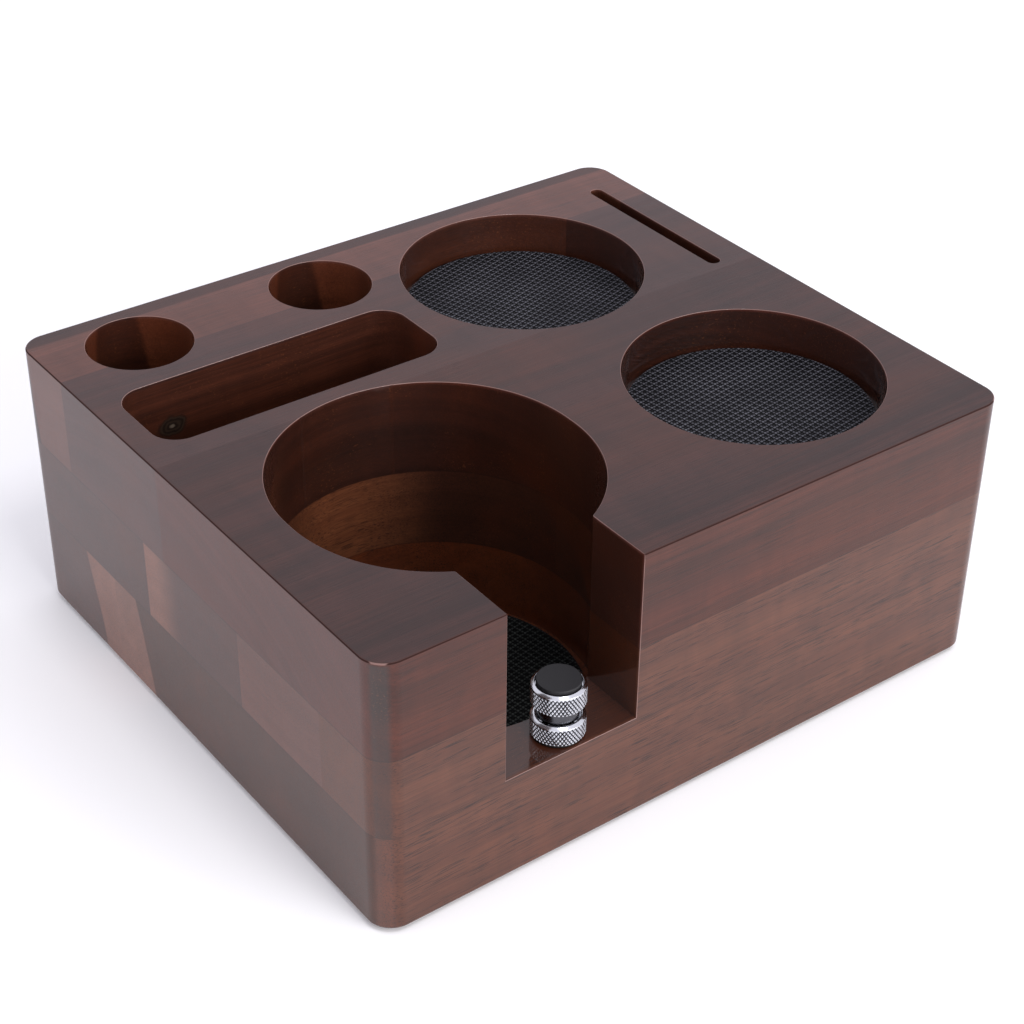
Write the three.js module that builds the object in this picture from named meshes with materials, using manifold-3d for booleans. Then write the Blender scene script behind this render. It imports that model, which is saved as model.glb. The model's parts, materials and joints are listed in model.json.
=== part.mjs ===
// Tamping station for an espresso bar: a wooden block laid up from glued boards, with a deep
// well and a front notch for a portafilter, a height-adjustable post that carries the handle,
// two matted pockets, a tool tray, two brush holes and a narrow slot for a puck screen.
// Millimetres, +Z up. The notch opens towards -Y, +X runs to the right along the notched face,
// and the origin is the centre of the surface that the rubber feet stand on.

import * as THREE from 'three';
import { mergeVertices } from 'three/addons/utils/BufferGeometryUtils.js';
import Module from 'manifold-3d';

const wasm = await Module();
wasm.setup();

// ---- Driving dimensions -------------------------------------------------------------------

// Block: three glued layers on four feet that lift it off the worktop.
const BLOCK = { width: 200, depth: 177, cornerRadius: 7 };
const LAYER = { bottom: 29.3, middle: 23.6, top: 28.3 };
const FOOT = { radius: 6, thickness: 2.5, proud: 1.5, inset: 18 };

// Heights of the block's own levels.
const BASE_Z = FOOT.proud;
const LOWER_GLUE_Z = BASE_Z + LAYER.bottom;
const UPPER_GLUE_Z = LOWER_GLUE_Z + LAYER.middle;
const TOP_Z = UPPER_GLUE_Z + LAYER.top;
const LEFT_X = -BLOCK.width / 2;
const RIGHT_X = BLOCK.width / 2;
const FRONT_Y = -BLOCK.depth / 2;
const REAR_Y = BLOCK.depth / 2;

// Glue lines between the boards of each layer, which all run along X.
const TOP_JOINTS_Y = [62.3, 11];
const MIDDLE_JOINTS_Y = [21.9, -25.6, -63.1];
const BOTTOM_JOINT_Y = 42.4;

// Hollows cut from the top face.
const WELL = { x: -43.4, rearY: -28.7, frontY: -31, radius: 42.2, depth: 73.4 };
const NOTCH = { x: -43.95, width: 40.3, depth: 50 };
const REAR_POCKET = { x: 38.1, y: 43.9, radius: 35.6, depth: 13.5 };
const FRONT_POCKET = { x: 53.5, y: -40.1, radius: 35.8, depth: 13.5 };
const HOLES = [{ x: -72.7, y: 69.4 }, { x: -14.9, y: 69.4 }];
const HOLE = { radius: 14.75, depth: 50 };
const TRAY = { x: -49, y: 33.5, width: 87, depth: 29.2, cornerRadius: 7.8, sink: 50 };
const SLOT = { x: 87.6, y: 43.8, width: 4.2, length: 59.3, sink: 35 };

const NOTCH_FLOOR_Z = TOP_Z - NOTCH.depth;
const WELL_FLOOR_Z = TOP_Z - WELL.depth;

// Loose rubber mats.
const MAT = { thickness: 1.7, wellGap: 2, pocketGap: 1.4 };

// Handle post: a knurled cap on an M6 stud, a neck sleeve under it, and a knurled lock ring.
const POST = { x: -42.8, y: -81, height: 16.9 };
const STUD = { radius: 2.8, top: 13, length: 30 };
const CAP = { radius: 7, bottom: 10, top: 15.9, chamfer: 0.7, recessDepth: 1.2, rimRadius: 6.2 };
const PAD = { radius: 6, bevel: 0.25 };
const SLEEVE = { radius: 5.35, bottom: 5.95 };
const RING = { radius: 7, bottom: 0.7, top: 6.3, chamfer: 0.7, cupRadius: 5.7, cupFloor: 3.2 };
const WASHER = { radius: 6.6, bottom: 0.1, thickness: 0.5 };
const INSERT = { radius: 4.2, length: 13, sunk: 0.3 };
const BORE = { studClearance: 0.3, insertHole: 4.5, tipHole: 3.4, depth: 22.5 };

// Gaps.
const FIT_GAP = 0.1;
const SIDE_GAP = 0.3;
const OVERCUT = 5;

// Facets around a full turn.
const SEGMENTS = { well: 72, pocket: 60, hole: 36, post: 36, stud: 24, foot: 24, arc: 6 };

// ---- Materials ----------------------------------------------------------------------------

function finish(color, roughness, metalness) {
  return new THREE.MeshStandardMaterial({ color, roughness, metalness });
}

const MATERIAL = {
  darkWood: finish('#54413c', 0.42, 0),
  rosyWood: finish('#7a5a52', 0.42, 0),
  brownWood: finish('#63483d', 0.45, 0),
  warmWood: finish('#7d5a4c', 0.45, 0),
  matRubber: finish('#26272a', 0.8, 0),
  padRubber: finish('#232226', 0.6, 0),
  footRubber: finish('#1c1c1d', 0.85, 0),
  chrome: finish('#d6d8dc', 0.14, 1),
  blackSteel: finish('#2b2b2d', 0.28, 1),
  steel: finish('#b4b6ba', 0.25, 1),
  brass: finish('#b99a52', 0.35, 1),
  nylon: finish('#191919', 0.6, 0),
};

// ---- Shape helpers ------------------------------------------------------------------------

// A closed three.js geometry as a solid for joining and cutting.
function solidOf(geometry) {
  const bare = geometry.clone();
  bare.deleteAttribute('normal');
  bare.deleteAttribute('uv');
  const merged = mergeVertices(bare, 1e-5);
  return new wasm.Manifold(new wasm.Mesh({
    numProp: 3,
    vertProperties: merged.attributes.position.array,
    triVerts: new Uint32Array(merged.index.array),
  }));
}

// The solid's surface as a three.js geometry.
function geometryOf(solid) {
  const mesh = solid.getMesh();
  const geometry = new THREE.BufferGeometry();
  geometry.setAttribute('position', new THREE.BufferAttribute(mesh.vertProperties, 3));
  geometry.setIndex(new THREE.BufferAttribute(mesh.triVerts, 1));
  geometry.computeVertexNormals();
  return geometry;
}

// An outline extruded from z0 up to z1, with both end faces exactly on those heights.
function prism(outline, z0, z1, segments) {
  const geometry = new THREE.ExtrudeGeometry(outline, {
    depth: z1 - z0,
    bevelEnabled: false,
    curveSegments: segments,
  });
  const position = geometry.attributes.position;
  const middle = (z1 - z0) / 2;
  for (let i = 0; i < position.count; i += 1) {
    position.setZ(i, position.getZ(i) > middle ? z1 : z0);
  }
  return geometry;
}

// A profile of [radius, height] points, from the axis back to the axis, turned about +Z.
function turned(profile, segments) {
  const points = profile.map(([radius, height]) => new THREE.Vector2(radius, height));
  return new THREE.LatheGeometry(points, segments).rotateX(Math.PI / 2);
}

// A turned ring: its profile is a closed loop that stays off the axis.
function turnedRing(profile, segments) {
  return turned([...profile, profile[0]], segments);
}

function circle(x, y, radius) {
  return new THREE.Shape().absarc(x, y, radius, 0, 2 * Math.PI, false);
}

// A rectangle with one radius at every corner.
function roundedRectangle(x, y, width, depth, radius) {
  const right = x + width / 2 - radius;
  const left = x - width / 2 + radius;
  const rear = y + depth / 2 - radius;
  const front = y - depth / 2 + radius;
  const shape = new THREE.Shape();
  shape.absarc(right, rear, radius, 0, Math.PI / 2, false);
  shape.absarc(left, rear, radius, Math.PI / 2, Math.PI, false);
  shape.absarc(left, front, radius, Math.PI, 1.5 * Math.PI, false);
  shape.absarc(right, front, radius, 1.5 * Math.PI, 2 * Math.PI, false);
  return shape;
}

// ---- Cutters ------------------------------------------------------------------------------

// Everything cut from the top face runs a little past it.
function cutterFromTop(outline, depth, segments) {
  return solidOf(prism(outline, TOP_Z - depth, TOP_Z + OVERCUT, segments));
}

// The well is a bore drawn out by a couple of millimetres towards the notch.
function wellOutline() {
  const shape = new THREE.Shape();
  shape.absarc(WELL.x, WELL.rearY, WELL.radius, 0, Math.PI, false);
  shape.absarc(WELL.x, WELL.frontY, WELL.radius, Math.PI, 2 * Math.PI, false);
  return shape;
}

function notchOutline() {
  const half = NOTCH.width / 2;
  const shape = new THREE.Shape();
  shape.moveTo(NOTCH.x - half, FRONT_Y - OVERCUT);
  shape.lineTo(NOTCH.x + half, FRONT_Y - OVERCUT);
  shape.lineTo(NOTCH.x + half, WELL.frontY);
  shape.lineTo(NOTCH.x - half, WELL.frontY);
  shape.closePath();
  return shape;
}

// Stepped hole in the notch floor for the threaded insert and the stud's tip.
function postBore() {
  const top = NOTCH_FLOOR_Z + 1;
  const step = NOTCH_FLOOR_Z - INSERT.sunk - INSERT.length - FIT_GAP;
  const bottom = NOTCH_FLOOR_Z - BORE.depth;
  const profile = [
    [0, bottom],
    [BORE.tipHole, bottom],
    [BORE.tipHole, step],
    [BORE.insertHole, step],
    [BORE.insertHole, top],
    [0, top],
  ];
  return solidOf(turned(profile, SEGMENTS.stud).translate(POST.x, POST.y, 0));
}

const FOOT_PLACES = {
  foot_front_left: [-1, -1],
  foot_front_right: [1, -1],
  foot_rear_left: [-1, 1],
  foot_rear_right: [1, 1],
};

function footCentre([sideX, sideY]) {
  return [sideX * (BLOCK.width / 2 - FOOT.inset), sideY * (BLOCK.depth / 2 - FOOT.inset)];
}

// Shallow round recess under the block that locates a foot.
function footRecess(place) {
  const [x, y] = footCentre(place);
  const ceiling = FOOT.thickness + FIT_GAP;
  const outline = circle(x, y, FOOT.radius + SIDE_GAP);
  return solidOf(prism(outline, BASE_Z - 1, ceiling, SEGMENTS.foot / 2));
}

const cutters = [
  cutterFromTop(wellOutline(), WELL.depth, SEGMENTS.well / 2),
  cutterFromTop(notchOutline(), NOTCH.depth, 1),
  cutterFromTop(
    circle(REAR_POCKET.x, REAR_POCKET.y, REAR_POCKET.radius),
    REAR_POCKET.depth,
    SEGMENTS.pocket / 2,
  ),
  cutterFromTop(
    circle(FRONT_POCKET.x, FRONT_POCKET.y, FRONT_POCKET.radius),
    FRONT_POCKET.depth,
    SEGMENTS.pocket / 2,
  ),
  ...HOLES.map(({ x, y }) => cutterFromTop(
    circle(x, y, HOLE.radius),
    HOLE.depth,
    SEGMENTS.hole / 2,
  )),
  cutterFromTop(
    roundedRectangle(TRAY.x, TRAY.y, TRAY.width, TRAY.depth, TRAY.cornerRadius),
    TRAY.sink,
    SEGMENTS.arc,
  ),
  cutterFromTop(
    roundedRectangle(SLOT.x, SLOT.y, SLOT.width, SLOT.length, SLOT.width / 2),
    SLOT.sink,
    SEGMENTS.arc,
  ),
  postBore(),
  ...Object.values(FOOT_PLACES).map(footRecess),
];

// ---- Boards -------------------------------------------------------------------------------

// Plan of a board, rounded where it reaches a corner of the block.
function boardOutline({ left = LEFT_X, right = RIGHT_X, front = FRONT_Y, rear = REAR_Y }) {
  const corners = [
    [right, rear, 0],
    [left, rear, 1],
    [left, front, 2],
    [right, front, 3],
  ];
  return new THREE.Shape(corners.flatMap(([x, y, quarter]) => {
    const atBlockCorner = Math.abs(x) === RIGHT_X && Math.abs(y) === REAR_Y;
    return atBlockCorner ? cornerArc(x, y, quarter) : [new THREE.Vector2(x, y)];
  }));
}

// Points round one vertical corner of the block, anticlockwise from the given quarter turn.
function cornerArc(x, y, quarter) {
  const r = BLOCK.cornerRadius;
  const centre = new THREE.Vector2(x - Math.sign(x) * r, y - Math.sign(y) * r);
  return Array.from({ length: SEGMENTS.arc + 1 }, (_, i) => {
    const angle = (quarter + i / SEGMENTS.arc) * Math.PI / 2;
    return new THREE.Vector2(r * Math.cos(angle), r * Math.sin(angle)).add(centre);
  });
}

// One glued board with every hollow that reaches it cut away.
function board(plan, bottomZ, topZ) {
  const blank = solidOf(prism(boardOutline(plan), bottomZ, topZ, 1));
  return geometryOf(cutters.reduce((wood, cutter) => wood.subtract(cutter), blank));
}

// ---- Scene graph --------------------------------------------------------------------------

const part = new THREE.Group();

function add(parent, name, geometry, material) {
  const mesh = new THREE.Mesh(geometry, material);
  mesh.name = name;
  parent.add(mesh);
  return mesh;
}

function addLayer(bottomZ, topZ, boards) {
  for (const [name, plan, material] of boards) {
    add(part, name, board(plan, bottomZ, topZ), material);
  }
}

// The well and the notch cut the top layer's front board, and the well cuts one board of the
// middle layer, into a left and a right piece.
function addBoards() {
  const [topRear, topFront] = TOP_JOINTS_Y;
  addLayer(UPPER_GLUE_Z, TOP_Z, [
    ['top_rear_board', { front: topRear }, MATERIAL.rosyWood],
    ['top_tray_board', { front: topFront, rear: topRear }, MATERIAL.darkWood],
    ['top_left_board', { rear: topFront, right: WELL.x }, MATERIAL.darkWood],
    ['top_right_board', { rear: topFront, left: WELL.x }, MATERIAL.darkWood],
  ]);
  const [middleRear, middleCentre, middleFront] = MIDDLE_JOINTS_Y;
  addLayer(LOWER_GLUE_Z, UPPER_GLUE_Z, [
    ['middle_rear_board', { front: middleRear }, MATERIAL.brownWood],
    ['middle_centre_board', { front: middleCentre, rear: middleRear }, MATERIAL.warmWood],
    ['middle_left_board', { front: middleFront, rear: middleCentre, right: WELL.x },
      MATERIAL.rosyWood],
    ['middle_right_board', { front: middleFront, rear: middleCentre, left: WELL.x },
      MATERIAL.rosyWood],
    ['middle_edge_board', { rear: middleFront }, MATERIAL.warmWood],
  ]);
  addLayer(BASE_Z, LOWER_GLUE_Z, [
    ['bottom_rear_board', { front: BOTTOM_JOINT_Y }, MATERIAL.brownWood],
    ['bottom_front_board', { rear: BOTTOM_JOINT_Y }, MATERIAL.warmWood],
  ]);
}

// A round rubber mat lying in the bottom of a hollow.
function addMat(name, x, y, radius, floorZ) {
  const profile = [
    [0, 0],
    [radius, 0],
    [radius, MAT.thickness],
    [0, MAT.thickness],
  ];
  const mat = add(part, name, turned(profile, SEGMENTS.pocket), MATERIAL.matRubber);
  mat.position.set(x, y, floorZ + FIT_GAP);
}

function addMats() {
  const wellMiddleY = (WELL.rearY + WELL.frontY) / 2;
  addMat('well_mat', WELL.x, wellMiddleY, WELL.radius - MAT.wellGap, WELL_FLOOR_Z);
  for (const [name, pocket] of [
    ['rear_pocket_mat', REAR_POCKET],
    ['front_pocket_mat', FRONT_POCKET],
  ]) {
    addMat(name, pocket.x, pocket.y, pocket.radius - MAT.pocketGap, TOP_Z - pocket.depth);
  }
}

function addFeet() {
  for (const [name, place] of Object.entries(FOOT_PLACES)) {
    const [x, y] = footCentre(place);
    const profile = [
      [0, 0],
      [FOOT.radius, 0],
      [FOOT.radius, FOOT.thickness],
      [0, FOOT.thickness],
    ];
    const foot = add(part, name, turned(profile, SEGMENTS.foot), MATERIAL.footRubber);
    foot.position.set(x, y, 0);
  }
}

// Knurled ring that locks the stud, with a cup in its top that the neck sleeve enters.
function lockRing() {
  const inner = STUD.radius + BORE.studClearance;
  return turnedRing([
    [inner, RING.bottom],
    [RING.radius - 0.2, RING.bottom],
    [RING.radius, RING.bottom + 0.2],
    [RING.radius, RING.top - RING.chamfer],
    [RING.radius - RING.chamfer, RING.top],
    [RING.cupRadius + 0.2, RING.top],
    [RING.cupRadius, RING.top - 0.2],
    [RING.cupRadius, RING.cupFloor],
    [inner, RING.cupFloor],
  ], SEGMENTS.post);
}

// Knurled cap: blind bore below for the stud, shallow recess above for the rubber pad.
function knurledCap() {
  const bore = STUD.radius + BORE.studClearance;
  const roof = STUD.top + FIT_GAP;
  return turned([
    [0, roof],
    [bore, roof],
    [bore, CAP.bottom],
    [CAP.radius - 0.2, CAP.bottom],
    [CAP.radius, CAP.bottom + 0.2],
    [CAP.radius, CAP.top - CAP.chamfer],
    [CAP.rimRadius + 0.1, CAP.top],
    [CAP.rimRadius, CAP.top],
    [CAP.rimRadius, CAP.top - CAP.recessDepth],
    [0, CAP.top - CAP.recessDepth],
  ], SEGMENTS.post);
}

function capPad() {
  const bottom = CAP.top - CAP.recessDepth + FIT_GAP;
  return turned([
    [0, bottom],
    [PAD.radius, bottom],
    [PAD.radius, POST.height - PAD.bevel],
    [PAD.radius - PAD.bevel, POST.height],
    [0, POST.height],
  ], SEGMENTS.post);
}

function neckSleeve() {
  const inner = STUD.radius + BORE.studClearance;
  const top = CAP.bottom - FIT_GAP;
  return turnedRing([
    [inner, SLEEVE.bottom],
    [SLEEVE.radius - 0.2, SLEEVE.bottom],
    [SLEEVE.radius, SLEEVE.bottom + 0.2],
    [SLEEVE.radius, top],
    [inner, top],
  ], SEGMENTS.post);
}

function stud() {
  const tip = STUD.top - STUD.length;
  return turned([
    [0, tip],
    [STUD.radius - 0.6, tip],
    [STUD.radius, tip + 0.6],
    [STUD.radius, STUD.top],
    [0, STUD.top],
  ], SEGMENTS.stud);
}

function threadedInsert() {
  const top = -INSERT.sunk;
  const inner = STUD.radius + BORE.studClearance;
  return turnedRing([
    [inner, top - INSERT.length],
    [INSERT.radius, top - INSERT.length],
    [INSERT.radius, top],
    [inner, top],
  ], SEGMENTS.stud);
}

function lockWasher() {
  const top = WASHER.bottom + WASHER.thickness;
  const inner = STUD.radius + BORE.studClearance;
  return turnedRing([
    [inner, WASHER.bottom],
    [WASHER.radius, WASHER.bottom],
    [WASHER.radius, top],
    [inner, top],
  ], SEGMENTS.post);
}

// The post's heights are counted from the notch floor.
function addPost() {
  const post = new THREE.Group();
  post.position.set(POST.x, POST.y, NOTCH_FLOOR_Z);
  add(post, 'threaded_insert', threadedInsert(), MATERIAL.brass);
  add(post, 'lock_washer', lockWasher(), MATERIAL.nylon);
  add(post, 'lock_ring', lockRing(), MATERIAL.chrome);
  add(post, 'neck_sleeve', neckSleeve(), MATERIAL.blackSteel);
  add(post, 'stud', stud(), MATERIAL.steel);
  add(post, 'knurled_cap', knurledCap(), MATERIAL.chrome);
  add(post, 'cap_pad', capPad(), MATERIAL.padRubber);
  part.add(post);
}

addBoards();
addMats();
addFeet();
addPost();

export default part;
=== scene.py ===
"""Looks of a wooden espresso tamping station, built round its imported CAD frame.

The block's boards, the woven mats, the pieces of the knurled post and the feet are each
remade here in detail, in the place that the frame gives. Lengths are in metres.
"""

import json
import math

import bpy
import numpy as np
from mathutils import Matrix, Vector


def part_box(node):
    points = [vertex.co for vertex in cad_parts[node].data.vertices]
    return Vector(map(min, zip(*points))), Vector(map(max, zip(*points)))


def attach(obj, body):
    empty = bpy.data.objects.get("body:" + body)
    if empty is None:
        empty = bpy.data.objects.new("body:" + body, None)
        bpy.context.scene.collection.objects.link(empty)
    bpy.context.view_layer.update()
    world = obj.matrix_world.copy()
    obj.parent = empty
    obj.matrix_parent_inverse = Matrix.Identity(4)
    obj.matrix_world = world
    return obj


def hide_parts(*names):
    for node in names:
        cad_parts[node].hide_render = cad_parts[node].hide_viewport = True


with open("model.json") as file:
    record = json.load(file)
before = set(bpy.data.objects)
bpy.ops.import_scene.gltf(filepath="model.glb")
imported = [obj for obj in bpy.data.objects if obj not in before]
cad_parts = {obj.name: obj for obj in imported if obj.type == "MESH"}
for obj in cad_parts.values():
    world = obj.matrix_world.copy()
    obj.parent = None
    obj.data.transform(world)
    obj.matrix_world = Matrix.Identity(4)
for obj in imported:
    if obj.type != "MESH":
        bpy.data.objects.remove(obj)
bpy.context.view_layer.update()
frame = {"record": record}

MM = 0.001
MOUNTS = {mount["name"]: Vector(mount["pos_m"]) for mount in frame["record"]["mounts"]}

# ---- Places taken from the frame ----------------------------------------------------------


def middle_of(node):
    low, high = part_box(node)
    return (low + high) / 2


def round_size(node):
    """Radius, base height and top height of a CAD node that is round about an upright axis."""
    low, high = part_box(node)
    return (high.x - low.x) / 2, low.z, high.z


BLOCK_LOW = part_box("bottom_front_board")[0]
BLOCK_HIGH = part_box("top_rear_board")[1]
BASE_Z = BLOCK_LOW.z
TOP_Z = BLOCK_HIGH.z
LEFT_X = BLOCK_LOW.x
RIGHT_X = BLOCK_HIGH.x
FRONT_Y = BLOCK_LOW.y
REAR_Y = BLOCK_HIGH.y
LOWER_GLUE_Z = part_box("middle_rear_board")[0].z
UPPER_GLUE_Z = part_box("top_rear_board")[0].z
WELL_CENTRE = middle_of("well_mat")
REAR_POCKET = middle_of("rear_pocket_mat")
FRONT_POCKET = middle_of("front_pocket_mat")
POST_AXIS = middle_of("stud")

# ---- Sizes of the block's shaping, as in the CAD model ------------------------------------

CORNER_RADIUS = 7 * MM
WELL_RADIUS = 42.2 * MM
WELL_STRETCH = 2.3 * MM
NOTCH_CENTRE_X = -43.95 * MM
NOTCH_WIDTH = 40.3 * MM
NOTCH_FLOOR_Z = TOP_Z - 50 * MM
REAR_POCKET_RADIUS = 35.6 * MM
FRONT_POCKET_RADIUS = 35.8 * MM
POCKET_FLOOR_Z = TOP_Z - 13.5 * MM
HOLE_RADIUS = 14.75 * MM
TRAY_SIZE = (87 * MM, 29.2 * MM)
TRAY_CORNER = 7.8 * MM
SLOT_SIZE = (4.2 * MM, 59.3 * MM)
STUD_HOLE_RADIUS = 3.4 * MM
STUD_HOLE_DEPTH = 9.1 * MM

# ---- Edges, clearances and fineness -------------------------------------------------------

NOTCH_CORNER = 0.8 * MM
TOP_EASE = 0.5 * MM
BASE_EASE = 0.9 * MM
RIM_EASE = 0.24 * MM
SLOT_EASE = 0.22 * MM
FLOOR_GAP = 0.1 * MM
FOOT_RECESS = 0.3 * MM
INSERT_RECESS = 0.3 * MM

FINE_TURN = 192
HOLE_TURN = 128
POST_TURN = 96
FOOT_TURN = 64
EASE_STEPS = 5
OVERCUT = 6 * MM
ON_AXIS = 1e-9
SMOOTH_LIMIT = math.radians(38)

FEET = ("foot_front_left", "foot_front_right", "foot_rear_left", "foot_rear_right")

BOARDS = (
    "top_rear_board",
    "top_tray_board",
    "top_left_board",
    "top_right_board",
    "middle_rear_board",
    "middle_centre_board",
    "middle_left_board",
    "middle_right_board",
    "middle_edge_board",
    "bottom_rear_board",
    "bottom_front_board",
)


# ---- Meshes -------------------------------------------------------------------------------


def new_piece(name, vertices, faces):
    mesh = bpy.data.meshes.new(name)
    mesh.from_pydata([tuple(v) for v in vertices], [], faces)
    mesh.update()
    piece = bpy.data.objects.new(name, mesh)
    bpy.context.scene.collection.objects.link(piece)
    return piece


def loft(name, rings):
    """Closed body through equal loops of points, with a flat face at each end."""
    count = len(rings[0])
    vertices = [point for ring in rings for point in ring]
    faces = []
    for level in range(len(rings) - 1):
        low = level * count
        high = low + count
        for i in range(count):
            j = (i + 1) % count
            faces.append((low + i, low + j, high + j, high + i))
    last = (len(rings) - 1) * count
    faces.append(tuple(reversed(range(count))))
    faces.append(tuple(range(last, last + count)))
    return new_piece(name, vertices, faces)


def apply_modifiers(piece):
    graph = bpy.context.evaluated_depsgraph_get()
    mesh = bpy.data.meshes.new_from_object(piece.evaluated_get(graph))
    old = piece.data
    piece.modifiers.clear()
    piece.data = mesh
    bpy.data.meshes.remove(old)


def boolean(piece, tool, operation):
    modifier = piece.modifiers.new("boolean", "BOOLEAN")
    modifier.operation = operation
    modifier.solver = "MANIFOLD"
    modifier.object = tool
    apply_modifiers(piece)


def discard(piece):
    mesh = piece.data
    bpy.data.objects.remove(piece)
    bpy.data.meshes.remove(mesh)


def copy_of(piece, name):
    twin = piece.copy()
    twin.data = piece.data.copy()
    twin.name = name
    twin.data.name = name
    bpy.context.scene.collection.objects.link(twin)
    return twin


def shade(piece, limit=SMOOTH_LIMIT):
    """Smooth shading that breaks at edges sharper than the limit and keeps flat faces flat."""
    mesh = piece.data
    mesh.shade_smooth()
    mesh.set_sharp_from_angle(angle=limit)
    weighted = piece.modifiers.new("weighted", "WEIGHTED_NORMAL")
    weighted.keep_sharp = True
    weighted.weight = 100


# ---- Outlines: each is a function of how far it is grown outwards -------------------------


def arc_points(x, y, radius, start, end, count):
    """Points on an arc from one angle to another, in degrees."""
    angles = np.linspace(math.radians(start), math.radians(end), count)
    return [(x + radius * math.cos(a), y + radius * math.sin(a)) for a in angles]


def circle_outline(centre, radius, count=FINE_TURN):
    def outline(grow):
        return arc_points(centre.x, centre.y, radius + grow, 0, 360, count + 1)[:-1]

    return outline


def rounded_outline(centre, size, radius, count=16):
    """Rectangle with the same radius at each corner."""
    across = size[0] / 2 - radius
    along = size[1] / 2 - radius

    def outline(grow):
        points = []
        for start, side_x, side_y in ((0, 1, 1), (90, -1, 1), (180, -1, -1), (270, 1, -1)):
            x = centre.x + side_x * across
            y = centre.y + side_y * along
            points += arc_points(x, y, radius + grow, start, start + 90, count)
        return points

    return outline


def well_outline(grow):
    rear_y = WELL_CENTRE.y + WELL_STRETCH / 2
    front_y = WELL_CENTRE.y - WELL_STRETCH / 2
    half = FINE_TURN // 2
    rear = arc_points(WELL_CENTRE.x, rear_y, WELL_RADIUS + grow, 0, 180, half)
    front = arc_points(WELL_CENTRE.x, front_y, WELL_RADIUS + grow, 180, 360, half)
    return rear + front


def notched_well_outline(grow):
    """The well and the notch in one outline, with a small radius where they meet."""
    rear_y = WELL_CENTRE.y + WELL_STRETCH / 2
    front_y = WELL_CENTRE.y - WELL_STRETCH / 2
    points = []
    tangents = []
    for side in (1, -1):
        wall_x = NOTCH_CENTRE_X + side * NOTCH_WIDTH / 2
        centre_x = wall_x + side * NOTCH_CORNER
        reach = centre_x - WELL_CENTRE.x
        centre_y = front_y - math.sqrt((WELL_RADIUS + NOTCH_CORNER) ** 2 - reach**2)
        towards_well = math.degrees(math.atan2(front_y - centre_y, WELL_CENTRE.x - centre_x))
        fillet = (centre_x, centre_y, NOTCH_CORNER - grow)
        outer_x = wall_x + side * grow
        if side == 1:
            points += [(outer_x, FRONT_Y - OVERCUT)]
            points += arc_points(*fillet, 180, towards_well, 8)
            tangents.append(towards_well - 180)
        else:
            tangents.append(towards_well + 180)
            left = arc_points(*fillet, towards_well, 0, 8)
            left += [(outer_x, FRONT_Y - OVERCUT)]
    radius = WELL_RADIUS + grow
    points += arc_points(WELL_CENTRE.x, front_y, radius, tangents[0], 0, 40)[1:]
    points += arc_points(WELL_CENTRE.x, rear_y, radius, 0, 180, FINE_TURN // 2)
    points += arc_points(WELL_CENTRE.x, front_y, radius, 180, tangents[1], 40)[:-1]
    return points + left


def eased():
    """Quarter-round profile: how far out and how far up, as shares of the radius."""
    for step in range(EASE_STEPS + 1):
        angle = math.pi / 2 * step / EASE_STEPS
        yield 1 - math.cos(angle), math.sin(angle)


def hollow(outline, floor_z, ease=RIM_EASE):
    """Tool that cuts a hollow from the top face and rounds its rim."""
    levels = [(0, floor_z)]
    levels += [(ease * out, TOP_Z - ease + ease * up) for out, up in eased()]
    levels += [(ease, TOP_Z + OVERCUT)]
    return loft("cut", [[(x, y, z) for x, y in outline(grow)] for grow, z in levels])


def notch_mouth():
    """Tool that rounds the notch's edges where it opens through the front face."""
    left_x = NOTCH_CENTRE_X - NOTCH_WIDTH / 2
    right_x = NOTCH_CENTRE_X + NOTCH_WIDTH / 2
    levels = [(0, FRONT_Y + 4 * MM)]
    levels += [(RIM_EASE * out, FRONT_Y + RIM_EASE - RIM_EASE * up) for out, up in eased()]
    levels += [(RIM_EASE, FRONT_Y - OVERCUT)]
    rings = []
    for grow, y in levels:
        low_z = NOTCH_FLOOR_Z - grow
        rings.append([
            (left_x - grow, y, low_z),
            (right_x + grow, y, low_z),
            (right_x + grow, y, TOP_Z + OVERCUT),
            (left_x - grow, y, TOP_Z + OVERCUT),
        ])
    return loft("cut", rings)


def disc_tool(centre, radius, low_z, high_z, count=HOLE_TURN):
    outline = circle_outline(centre, radius, count)
    return loft("cut", [[(x, y, z) for x, y in outline(0)] for z in (low_z, high_z)])


def block_body():
    """The glued-up block: rounded upright corners, eased top and bottom edges."""
    centre = (BLOCK_LOW + BLOCK_HIGH) / 2
    size = (RIGHT_X - LEFT_X, REAR_Y - FRONT_Y)
    outline = rounded_outline(centre, size, CORNER_RADIUS, 20)
    quarter = list(eased())
    levels = [(-BASE_EASE * (1 - up), BASE_Z + BASE_EASE * out) for out, up in quarter]
    levels += [(-TOP_EASE * out, TOP_Z - TOP_EASE * (1 - up)) for out, up in quarter]
    return loft("block", [[(x, y, z) for x, y in outline(grow)] for grow, z in levels])


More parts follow.
